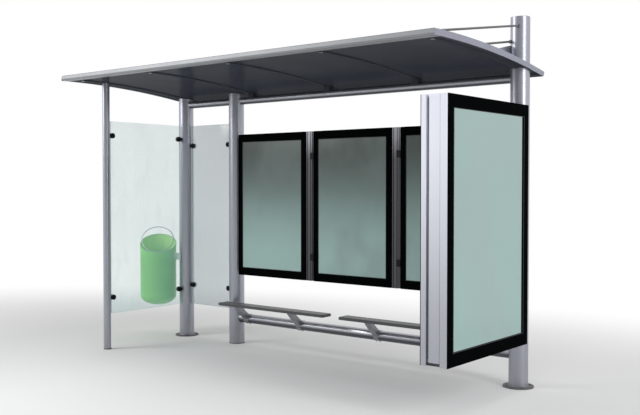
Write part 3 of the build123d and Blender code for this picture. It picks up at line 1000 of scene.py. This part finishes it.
@dataclass(frozen=True)
class Arc:
    """A circle in the plane across the shelter, given by its radius and its crest."""

    radius: float
    crest_y: float
    crest_z: float

    def height(self, y: float | np.ndarray, drop: float = 0.0) -> float | np.ndarray:
        """Height of the arc that lies a drop inside: c + sqrt((R - drop)^2 - (y - y0)^2)."""
        rise = np.sqrt((self.radius - drop) ** 2 - (y - self.crest_y) ** 2)
        return self.crest_z - self.radius + rise

    def line(self, x: float, y0: float, y1: float, drop: float, steps: int = 40) -> np.ndarray:
        """Points from y0 to y1 along the arc that lies a drop inside, all at one x."""
        y = np.linspace(y0, y1, steps)
        return rows(x, y, self.height(y, drop))


@dataclass
class Roof:
    """The arched roof: profiles, ribs, smoked sheets, soffit, glazing rubber and cap strips."""

    top: Arc = Arc(10.0, -1.38, 2.836)
    under: Arc = Arc(10.793, -1.4, 2.789)
    soffit_raise: float = 0.007
    rib_half: float = 0.025
    front_y: float = -1.466
    rear_y: float = 0.152
    left_x: float = -4.15
    ends_x: Pair = (-4.311, 0.101)
    plates_x: Pair = (-4.32, 0.11)
    cap_half: float = 0.034
    cap_rise: float = 0.004
    nose_bead: Pair = (-1.5412, 2.8305)
    plug_inset: float = 0.055
    screw_inset: float = 0.06
    screw_end: float = -0.15
    bead_end: float = -0.09
    plate_screws_y: tuple[float, ...] = (-1.505, -0.95, -0.40, 0.180)
    rib_x: np.ndarray = field(init=False)

    def __post_init__(self) -> None:
        """Work out where the five ribs stand."""
        self.rib_x = np.linspace(self.left_x, 0.0, 5)

    def gaskets(self) -> Surface:
        """Rubber beads along both sides of every rib, where the soffit meets it.

        Returns:
            All beads as one surface; those at the posts stop short of them.
        """
        beads = []
        for x in self.rib_x:
            last = self.rear_y if x in self.rib_x[1:-1] else self.bead_end
            for way in (-1, 1):
                path = self.under.line(x + way * (self.rib_half + 0.002), self.front_y, last,
                                       -self.soffit_raise)
                beads.append(Surface.swept(path, 0.003, closed=False))
        return Surface.joined(beads)

    def front_bead(self) -> Surface:
        """A dark bead along the nose's upper rounding, where the sheets are sealed to it."""
        path = rows(np.linspace(*self.ends_x, 24), *self.nose_bead)
        return Surface.swept(path, 0.0085, 12, closed=False)

    def caps(self) -> Surface:
        """Aluminium cap strips over the ribs, which clamp the sheets from above.

        A strip is a flat bar bent to the roof: six arcs at its corners, joined round it.

        Returns:
            One strip for each rib; the right one stops at the mast.
        """
        half, rise = self.cap_half, self.cap_rise
        section = ((-half, 0.0005), (-half, -0.6 * rise), (-0.8 * half, -rise),
                   (0.8 * half, -rise), (half, -0.6 * rise), (half, 0.0005))
        strips = []
        for x in self.rib_x:
            end = self.rear_y if x < 0 else -POST_RADIUS - 0.012
            lines = [self.top.line(x + dx, self.front_y + 0.002, end, drop) for dx, drop in section]
            strips.append(Surface.grid(np.stack(lines, axis=1), close_v=True, cap=True))
        return Surface.joined(strips)

    def screws(self) -> Surface:
        """Button heads along the cap strips.

        Returns:
            Seven heads on each strip.
        """
        head = domed_head(0.0075, 0.0035, 14)
        copies = []
        for x in self.rib_x:
            last = self.rear_y - self.screw_inset if x < 0 else self.screw_end
            line = self.top.line(x, self.front_y + self.screw_inset, last,
                                 0.0002 - self.cap_rise, 7)
            copies.append(head.placed(line, UP))
        return Surface.joined(copies)

    def plugs(self) -> Surface:
        """Round cover plugs under the front end of each rib, where the nose is bolted on.

        Returns:
            One plug for each rib.
        """
        plug = Surface.turned(((0, 0), (0.017, 0), (0.019, 0.002), (0.019, 0.005),
                               (0.013, 0.0075), (0, 0.008)))
        y = self.front_y + self.plug_inset
        return plug.placed(rows(self.rib_x, y, self.under.height(y, -0.0005)), (0, 0.01, -1))

    def end_screws(self) -> Surface:
        """Heads that hold the end plates to the nose and to the rear edge.

        Returns:
            Eight heads, four on each end plate.
        """
        head = domed_head(0.0085, 0.003, 16)
        sunk = 0.0035
        y = np.array(self.plate_screws_y)
        middle = (self.top.height(y) + self.under.height(y)) / 2
        return Surface.joined([head.placed(rows(x - way * sunk, y, middle), (way, 0, 0))
                               for x, way in zip(self.plates_x, (-1, 1))])

    def build(self, maker: Maker) -> None:
        """Dress the roof's nodes and add its trim.

        Args:
            maker: The piece maker.
        """
        maker.dress(ROOF_METAL, "roof_front_nose")
        maker.dress(FASCIA_METAL, "roof_fascia_left", "roof_fascia_right")
        maker.dress(RIB_PAINT, "roof_ribs", "roof_rear_edge")
        maker.dress(SmokedSheet("smoked_sheet"), *(f"roof_sheet_{n}" for n in range(1, 5)))
        maker.dress(SmokedSheet("soffit_sheet", (0.042, 0.0475, 0.061), 0.20, BLACK_SHEEN, 0.0),
                    "roof_soffit")
        maker.piece("roof_front_bead", self.front_bead(), GASKET, ROUNDED)
        maker.piece("roof_glazing_beads", self.gaskets(), GASKET, ROUNDED)
        maker.piece("roof_cap_strips", self.caps(), ROOF_METAL, 30.0)
        maker.piece("roof_cap_screws", self.screws(), ZINC)
        maker.piece("rib_front_plugs", self.plugs(),
                    Fastener("plug_metal", (0.35, 0.36, 0.38), 0.35))
        maker.piece("fascia_screws", self.end_screws(), ZINC)


@dataclass
class Stays:
    """The two stay rods and the tapered arm at the mast, with their pins and nuts."""

    roof: Roof
    rods: tuple[Point, ...] = ((0.020, 3.066, -1.400), (-0.060, 2.943, -0.760))
    lug_middle: float = 0.010
    nut_gaps: Pair = (0.019, 0.032)

    def hardware(self) -> Surface:
        """Lock nuts at both ends of each rod, and a pin with two rims through each lug.

        A rod is given by its x, its height at the mast's wall and the y of its lug.

        Returns:
            All nuts and pins.
        """
        nut = Surface.turned(((0, 0), (0.011, 0), (0.0125, 0.0015), (0.0125, 0.0085),
                              (0.011, 0.010), (0, 0.010)), 6)
        half = np.array([(0.004, 0.0115), (0.0065, 0.0125), (0.0065, 0.0145), (0.005, 0.016),
                         (0, 0.016)])
        pin = Surface.turned(np.concatenate([half[::-1] * (1, -1), half]), 20)
        mast_gap, lug_gap = self.nut_gaps
        copies = []
        for x, z, foot_y in self.rods:
            top = np.array([x, -math.sqrt(POST_RADIUS**2 - x**2), z])
            foot = np.array([x, foot_y, self.roof.top.height(foot_y) + self.lug_middle])
            run = (foot - top) / np.linalg.norm(foot - top)
            copies += [nut.placed(top + run * mast_gap, run),
                       nut.placed(foot - run * lug_gap, -run), pin.placed(foot, RIGHT)]
        return Surface.joined(copies)

    def build(self, maker: Maker) -> None:
        """Dress the rods and the arm and add their hardware.

        Args:
            maker: The piece maker.
        """
        maker.dress(SatinSteel("stay_paint", (0.14, 0.14, 0.15), 0.45, 0.5, 0.1), "stay_rods")
        maker.dress(POST_PAINT, "roof_arm")
        maker.piece("stay_nuts_and_pins", self.hardware(), ZINC)


@dataclass
class Screens:
    """The side and rear glass screens with their black clamps."""

    clamp_thickness: float = 0.034
    side_heights: Pair = (0.540, 2.245)
    rear_heights: Pair = (0.588, 2.170)
    reach: float = 0.024

    def bolts(self) -> Surface:
        """Cap screw heads with hexagonal sockets on both faces of every clamp.

        The clamps sit a fixed reach inside each upright edge of the glass.

        Returns:
            Sixteen heads.
        """
        radius, height, socket = 0.0095, 0.0065, 0.0048
        head = Surface.joined([
            Surface.turned(((0, 0), (radius, 0), (radius, 0.8 * height), (0.85 * radius, height),
                            (socket, height)), 18),
            Surface.turned(((socket, height), (socket, 0.45 * height), (0, 0.4 * height)), 18)])
        screens = []
        for box, heights, axis in ((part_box("side_glass"), self.side_heights, np.array(RIGHT)),
                                   (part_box("rear_glass"), self.rear_heights, np.array(REAR))):
            low, high = (np.array(corner) for corner in box)
            middle, along = (low + high) / 2 * axis, np.array([1.0, 1.0, 0.0]) - axis
            screens.append((axis, np.array([
                middle + edge * along + (0, 0, z) for z in heights
                for edge in (low + self.reach, high - self.reach)])))
        rise = self.clamp_thickness / 2 - 0.0005
        return Surface.joined([head.placed(places + way * rise * axis, way * axis)
                               for way in (-1.0, 1.0) for axis, places in screens])

    def build(self, maker: Maker) -> None:
        """Dress the glass and clamps and add the bolts.

        Args:
            maker: The piece maker.
        """
        maker.dress(ScreenGlass("side_screen_glass", (0.58, 0.96, 0.92), 0.20, 0), "side_glass")
        maker.dress(ScreenGlass("rear_screen_glass", (0.48, 0.56, 0.60), 0.42, 1), "rear_glass")
        maker.dress(BLACK_SATIN, "side_glass_clamps", "rear_glass_clamps")
        maker.piece("clamp_bolt_heads", self.bolts(), BLACK_SATIN)


@dataclass
class DisplayCases:
    """Three glazed display cases on two rails, with their uprights, gaskets and locks."""

    front_y: float = -0.140
    back_y: float = -0.090
    width: float = 0.934
    height: float = 1.492
    bottom: float = 0.769
    margin_x: float = 0.060
    margin_z: float = 0.080
    pitch: float = 1.033
    middle: float = -1.686
    lock_x: float = 0.33
    rivet_edge: float = 0.018
    rivets_x: tuple[float, ...] = (-0.33, -0.11, 0.11, 0.33)
    rivets_z: tuple[float, ...] = (0.060, 0.450, 0.750, 1.050, 1.430)
    swage_inset: Pair = (0.20, 0.26)

    def everywhere(self, spots: tuple[Pair, ...] | list[Pair], y: float) -> np.ndarray:
        """Repeat spots on each of the three cases.

        Args:
            spots: Rows of place across the case from its middle, and height over its bottom.
            y: Their depth.

        Returns:
            Rows of points, case by case.
        """
        across, up = np.asarray(spots).T
        centres = self.middle + self.pitch * np.arange(-1, 2)
        return rows(centres[:, None] + across, y, self.bottom + up).reshape(-1, 3)

    def beads(self, y: float, inset: Pair, *shape: float, sides: int = 8) -> Surface:
        """A bead round each case; shape is its corner radius, half its width and its squash."""
        size = (self.width - inset[0], self.height - inset[1])
        return Surface.joined([Surface.bead(centre, size, *shape, REAR, sides)
                               for centre in self.everywhere(((0.0, self.height / 2),), y)])

    def locks(self) -> Surface:
        """Round barrel locks, two in the lower border of each case.

        Returns:
            Six lock faces.
        """
        lock = Surface.turned(((0, 0), (0.010, 0), (0.0105, 0.0008), (0.0100, 0.0024),
                               (0.0070, 0.0028), (0.0066, 0.0016), (0, 0.0016)))
        spots = ((-self.lock_x, self.margin_z / 2), (self.lock_x, self.margin_z / 2))
        return lock.placed(self.everywhere(spots, self.front_y + 0.0004), (0, -1, 0))

    def back_rivets(self) -> Surface:
        """Heads round the edge of each back panel, clear of the rails' brackets.

        Returns:
            Eighteen heads for each case.
        """
        edge = self.rivet_edge
        spots = [(way * (self.width / 2 - edge), z) for way in (-1, 1) for z in self.rivets_z]
        spots += [(x, z) for x in self.rivets_x for z in (edge, self.height - edge)]
        places = self.everywhere(spots, self.back_y - 0.0003)
        return domed_head(0.0055, 0.0024, 12).placed(places, REAR)

    def build(self, maker: Maker) -> None:
        """Dress the cases, uprights and rails and add gaskets, locks, rivets and swages.

        Args:
            maker: The piece maker.
        """
        coat = GlossPaint("display_case_gloss", back_y=self.back_y - 0.004)
        maker.dress(coat, *(f"display_case_{n}" for n in range(1, 4)))
        maker.dress(GlazedPrint("display_sheet", (0.082, 0.100, 0.093), (0.34, 0.50, 0.47),
                                2.15, 0.90, (0.20, 0.26, 0.245)), "display_panes")
        # The uprights get the same graded painted reflection, dark below 1.95 m and bright by 2.27
        # m.
        maker.dress(CaseProfile("upright_metal", (0.30, 0.30, 0.33), 0.22, 1.95, 2.27),
                    "display_uprights")
        maker.dress(BLACK_SATIN, "display_clips")
        maker.dress(POST_PAINT, "display_rails")
        inset = (2 * self.margin_x + 0.004, 2 * self.margin_z + 0.004)
        gaskets = self.beads(self.front_y + 0.0018, inset, 0.006, 0.0035, 0.6)
        swages = self.beads(self.back_y, self.swage_inset, 0.05, 0.008, 0.4, sides=10)
        maker.piece("display_gaskets", gaskets, GASKET, ROUNDED)
        maker.piece("display_locks", self.locks(), BLACK_GLOSS)
        maker.piece("display_back_rivets", self.back_rivets(), ZINC)
        maker.piece("display_back_swages", swages, coat, WELDED)


@dataclass
class PosterCase:
    """The two-sided poster case on the mast, with its doors, borders, panes and gaskets."""

    front_y: float = -1.389
    rear_y: float = -0.084
    bottom: float = 0.393
    top: float = 2.393
    margin_y: float = 0.078
    margin_z: float = 0.100
    outer_x: float = 0.121
    inner_x: float = -0.114
    seam_x: float = 0.0515
    seam_rise: float = 0.028
    print_margins: tuple[float, ...] = (0.088, 0.118, 0.110)

    def bead(self, x: float, rise: float, inset: Pair, *shape: float) -> Surface:
        """A bead along the case's outline, moved inwards.

        Args:
            x: Its place through the case.
            rise: How far over the case's bottom the outline starts.
            inset: How far it lies inside the outline along y and z.
            shape: Its corner radius, half its width, and its rise for each unit of that.

        Returns:
            One closed bead.
        """
        centre = (x, (self.front_y + self.rear_y) / 2, (self.bottom + rise + self.top) / 2)
        size = (self.rear_y - self.front_y - 2 * inset[0],
                self.top - self.bottom - rise - 2 * inset[1])
        return Surface.bead(centre, size, *shape, RIGHT)

    def build(self, maker: Maker) -> None:
        """Dress the case and add a gasket round each pane and a seal at the outer door.

        Args:
            maker: The piece maker.
        """
        maker.dress(CASE_METAL, "poster_case_body", "poster_door_inner", "poster_door_outer")
        maker.dress(BLACK_GLOSS, "poster_borders")
        front, rear, low = self.print_margins
        print_y = (self.front_y + front, self.rear_y - rear)
        maker.dress(GlazedPrint("poster_sheet", (0.305, 0.425, 0.405), (0.305, 0.45, 0.42), 2.2,
                                0.5, (0.325, 0.405, 0.395), 0.2, print_y, self.bottom + low),
                    "poster_panes")
        maker.dress(POST_PAINT, "poster_case_brackets")
        inset = (self.margin_y + 0.002, self.margin_z + 0.002)
        gaskets = [self.bead(x, 0.0, inset, 0.006, 0.0035, 0.6)
                   for x in (self.outer_x - 0.0018, self.inner_x + 0.0018)]
        seal = self.bead(self.seam_x, self.seam_rise, (0.0035, 0.0035), 0.004, 0.0028, 0.8)
        maker.piece("poster_gaskets", Surface.joined(gaskets), GASKET, ROUNDED)
        maker.piece("poster_door_seal", seal, CASE_METAL, ROUNDED)


@dataclass
class Bench:
    """The two seats on their tube, with collars, welds and seat screws."""

    posts: Posts
    tube_radius: float = 0.049
    tube_z: float = 0.283
    collar: float = 0.003
    arm_x: tuple[float, ...] = (-3.170, -2.430, -1.460, -0.640)
    arm_half: float = 0.033
    seat_top: float = 0.470
    seat_y: Pair = (-0.250, -0.190)
    bolt_gap: float = 0.020

    def welds(self) -> Surface:
        """Beads at both rims of the arm collars and at the two posts.

        Returns:
            All beads as one surface.
        """
        paths = [circle((x + way * self.arm_half, 0.0, self.tube_z), self.tube_radius, 40,
                        upright=True) for x in self.arm_x for way in (-1, 1)]
        paths += [self.posts.saddle(x, way, self.tube_z, self.tube_radius)
                  for x, way in ((self.posts.middle_x, 1), (0.0, -1))]
        return Surface.joined([Surface.swept(path, 0.004, up=RIGHT) for path in paths])

    def screws(self) -> Surface:
        """Low heads on the seats, two over each arm."""
        places = [(x, y, self.seat_top - 0.0006) for x in self.arm_x for y in self.seat_y]
        return domed_head(0.009, 0.003, 18).placed(places, UP)

    def clamp_bolts(self) -> Surface:
        """Hexagon heads under each collar, which draw it onto the tube.

        Returns:
            Two heads for each arm.
        """
        head = Surface.turned(((0, 0), (0.0095, 0), (0.0095, 0.006), (0.008, 0.0072),
                               (0, 0.0072)), 6)
        z = self.tube_z - self.tube_radius - self.collar + 0.0008
        places = [(x + way * self.bolt_gap, 0.0, z) for x in self.arm_x for way in (-1, 1)]
        return head.placed(places, (0, 0, -1))

    def build(self, maker: Maker) -> None:
        """Dress the bench and add its small parts.

        Args:
            maker: The piece maker.
        """
        maker.dress(TUBE_PAINT, "bench_tube")
        maker.dress(SatinSteel("bench_arm_paint", (0.28, 0.285, 0.31), 0.34, 0.7), "bench_arms")
        maker.dress(PowderCoat("seat_coat", (0.066, 0.067, 0.070), 0.45), "bench_seats")
        maker.piece("bench_weld_beads", self.welds(), TUBE_PAINT, WELDED)
        maker.piece("seat_screws", self.screws(), ZINC)
        maker.piece("collar_bolts", self.clamp_bolts(), ZINC, 20.0)


@dataclass
class LitterBin:
    """The green bin with its slanted mouth, rolled rim, swages and wire ring."""

    x: float = -4.480
    y: float = -0.140
    radius: float = 0.205
    low_rim: float = 0.955
    high_rim: float = 1.145
    facing: float = math.radians(-45)
    rivet_z: float = 1.115
    rivet_turn: float = math.radians(14)
    swages_z: Pair = (0.475, 0.700)

    def rolled_rim(self) -> Surface:
        """The bead round the slanted mouth.

        At angle a round the axis the rim's height is the mean less half the difference
        times cos(a - f), where f is the way the mouth faces.

        Returns:
            One closed bead.
        """
        mean, half = (self.low_rim + self.high_rim) / 2, (self.high_rim - self.low_rim) / 2
        rim = circle((self.x, self.y, mean + 0.001), self.radius - 0.002, 64)
        away = (rim[:, :2] - (self.x, self.y)) @ (math.cos(self.facing), math.sin(self.facing))
        rim[:, 2] -= half * away / self.radius
        return Surface.swept(rim, 0.0045, 10)

    def rivets(self) -> Surface:
        """Two heads on the band at the back of the mouth.

        Returns:
            Both heads.
        """
        head = domed_head(0.006, 0.003, 16)
        copies = []
        for turn in (-self.rivet_turn, self.rivet_turn):
            angle = self.facing + math.pi + turn
            way = np.array([math.cos(angle), math.sin(angle), 0.0])
            place = (self.x, self.y, self.rivet_z) + way * (self.radius + 0.002)
            copies.append(head.placed(place, way))
        return Surface.joined(copies)

    def build(self, maker: Maker) -> None:
        """Dress the bin and add its rolled rim, swages and rivets.

        Args:
            maker: The piece maker.
        """
        maker.dress(PunchedCoat("bin_punched_coat", (self.x, self.y)), "bin_body")
        maker.dress(SatinSteel("bin_bracket_paint", (0.62, 0.64, 0.64), 0.45, 0.3, 0.1),
                    "bin_bracket")
        maker.dress(SatinSteel("bin_ring_wire", (0.50, 0.50, 0.53), 0.30, 0.9, 0.1), "bin_ring")
        coat = PowderCoat("bin_trim_coat", (0.26, 0.62, 0.20), 0.4, STREAK_SCALE, 0.0002,
                          (0.4, 0.6, 0.4))
        swages = [Surface.swept(circle((self.x, self.y, z), self.radius - 0.0015, 64), 0.004)
                  for z in self.swages_z]
        maker.piece("bin_rolled_rim", self.rolled_rim(), coat, WELDED)
        maker.piece("bin_swages", Surface.joined(swages), coat, WELDED)
        maker.piece("bin_rivets", self.rivets(), ZINC)


# ---------------------------------------------------------------- studio


@dataclass(frozen=True)
class Lamp:
    """One rectangular soft lamp: where it hangs, what it looks at, its size and its watts."""

    name: str
    place: Point
    target: Point
    size: Pair
    power: float

    def hang(self) -> None:
        """Put the lamp in the scene, turned to its target."""
        data = bpy.data.lights.new(self.name, "AREA")
        data.shape = "RECTANGLE"
        data.size, data.size_y = self.size
        data.energy = self.power
        made = linked(self.name, data)
        made.location = self.place
        x, y, z = np.subtract(self.target, self.place)
        made.rotation_euler = (math.atan2(math.hypot(x, y), -z), 0.0, math.atan2(-x, y))


@dataclass
class Studio:
    """Pale floor, white surroundings, soft lamps and the camera of the photograph."""

    camera_place: Point = (3.375, -6.905, 1.733)
    yaw: float = math.radians(38.825)
    pitch: float = math.radians(-1.508)
    lens: float = 49.45
    floor_middle: Pair = (-1.6, -0.9)
    floor_half: float = 60.0
    # Floor greys: by the shelter, beside it as painted shade, and the mottling.
    floor_greys: tuple[float, ...] = (0.885, 0.68, 0.80)
    side_band: Pair = (1.2, 4.2)
    fade_band: Pair = (2.4, 5.8)
    room_turn: float = math.radians(12)
    room_band: Pair = (0.20, 0.90)
    room_level: Pair = (0.07, 0.24)
    daylight: float = 0.62
    lamps: tuple[Lamp, ...] = (
        Lamp("key_left", (-7.5, -6.0, 5.0), (-2.0, -0.5, 1.2), (3.0, 5.0), 240.0),
        Lamp("fill_right", (5.5, -1.5, 3.2), (-1.0, -0.5, 1.4), (1.6, 4.5), 150.0),
        Lamp("top_soft", (-2.0, -1.0, 7.5), (-2.0, -0.6, 0.0), (6.0, 4.0), 130.0),
    )

    @staticmethod
    def rays(shader: Shader) -> tuple[Wire, Wire]:
        """Tell apart the rays that can see the background.

        Args:
            shader: The material or world that asks.

        Returns:
            The mask of camera and transmission rays, and that of glossy rays.
        """
        path = shader.node("ShaderNodeLightPath")
        camera, through, glossy = (Wire(shader, path.outputs[f"Is {kind} Ray"])
                                   for kind in ("Camera", "Transmission", "Glossy"))
        return camera + through, glossy

    def floor(self) -> None:
        """Lay the floor: pale grey by the shelter, darker beside it as painted shade, white far
        off.
        """
        steps = np.linspace(-self.floor_half, self.floor_half, 9)
        middle_x, middle_y = self.floor_middle
        surface = Surface.grid(rows((steps + middle_x)[:, None], steps + middle_y, 0.0))
        mesh = bpy.data.meshes.new("studio_floor")
        mesh.from_pydata(surface.points.tolist(), [], surface.quads.tolist())
        shader = Shader("floor_paint")
        near, beside, mottled = ((grey,) * 3 for grey in self.floor_greys)
        place_x, place_y, _ = shader.parts(shader.position())
        across, along = place_x - middle_x, place_y - middle_y
        far = (across * 0.6).hypot(along).smoothed(*self.fade_band)
        # Painted shade: the floor is darker to the sides of the shelter.
        tint = shader.blend(abs(across).smoothed(*self.side_band), near, beside)
        tint = shader.blend(shader.noise(0.7, 3.0).swing(0.3), tint, mottled)
        paint = shader.add("ShaderNodeBsdfDiffuse", inputs={"Color": tint})
        white = shader.add("ShaderNodeEmission", inputs={"Color": (1, 1, 1), "Strength": 1.0})
        plain, glossy = self.rays(shader)
        seen = far * (plain + glossy).clamped()
        mesh.materials.append(shader.closed(shader.add("ShaderNodeMixShader",
                                                       inputs={0: seen, 1: paint, 2: white})))
        floor = linked("studio_floor", mesh)

    def surroundings(self) -> None:
        """Surround the shelter with white, dimmer behind the camera as a studio is."""
        world = bpy.data.worlds.new("studio")
        world.use_nodes = True
        bpy.context.scene.world = world
        shader = Shader("studio", world.node_tree)
        way = shader.add("ShaderNodeTexCoord", output="Generated")
        turn = self.yaw - self.room_turn
        facing = shader.add("ShaderNodeVectorMath", {"operation": "DOT_PRODUCT"},
                            {0: way, 1: (math.sin(turn), -math.cos(turn), 0.0)}, "Value")
        level = 1.0 - abs(shader.parts(way)[2]).smoothed(*self.room_level) * 0.7
        room = 1.0 - facing.smoothed(*self.room_band) * level * 0.90
        plain, glossy = self.rays(shader)
        strength = plain + glossy * room + (1.0 - plain - glossy).clamped() * self.daylight
        shader.closed(shader.add("ShaderNodeBackground",
                                 inputs={"Color": (1, 1, 1), "Strength": strength}), "World")

    def camera(self) -> None:
        """Set the camera that was solved from the photograph."""
        data = bpy.data.cameras.new("photo_camera")
        data.sensor_width = 36.0
        data.lens = self.lens
        data.clip_end = 200.0
        made = linked("photo_camera", data)
        made.location = self.camera_place
        made.rotation_euler = (math.pi / 2 + self.pitch, 0.0, self.yaw)
        bpy.context.scene.camera = made

    def build(self) -> None:
        """Set up the whole studio."""
        self.floor()
        self.surroundings()
        for lamp in self.lamps:
            lamp.hang()
        self.camera()
        bpy.context.scene.view_settings.view_transform = "Standard"


def main() -> None:
    """Build every sub-assembly in order."""
    logging.basicConfig(level=logging.INFO, format="%(message)s")
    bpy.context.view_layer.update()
    maker = Maker()
    posts = Posts()
    roof = Roof()
    for assembly in (posts, roof, Stays(roof), Screens(), DisplayCases(), PosterCase(),
                     Bench(posts), LitterBin()):
        assembly.build(maker)
        LOG.info("built %s", type(assembly).__name__)
    Studio().build()
    LOG.info("pieces dressed with %d finishes", len(maker.finished))


if __name__ == "__main__":
    main()
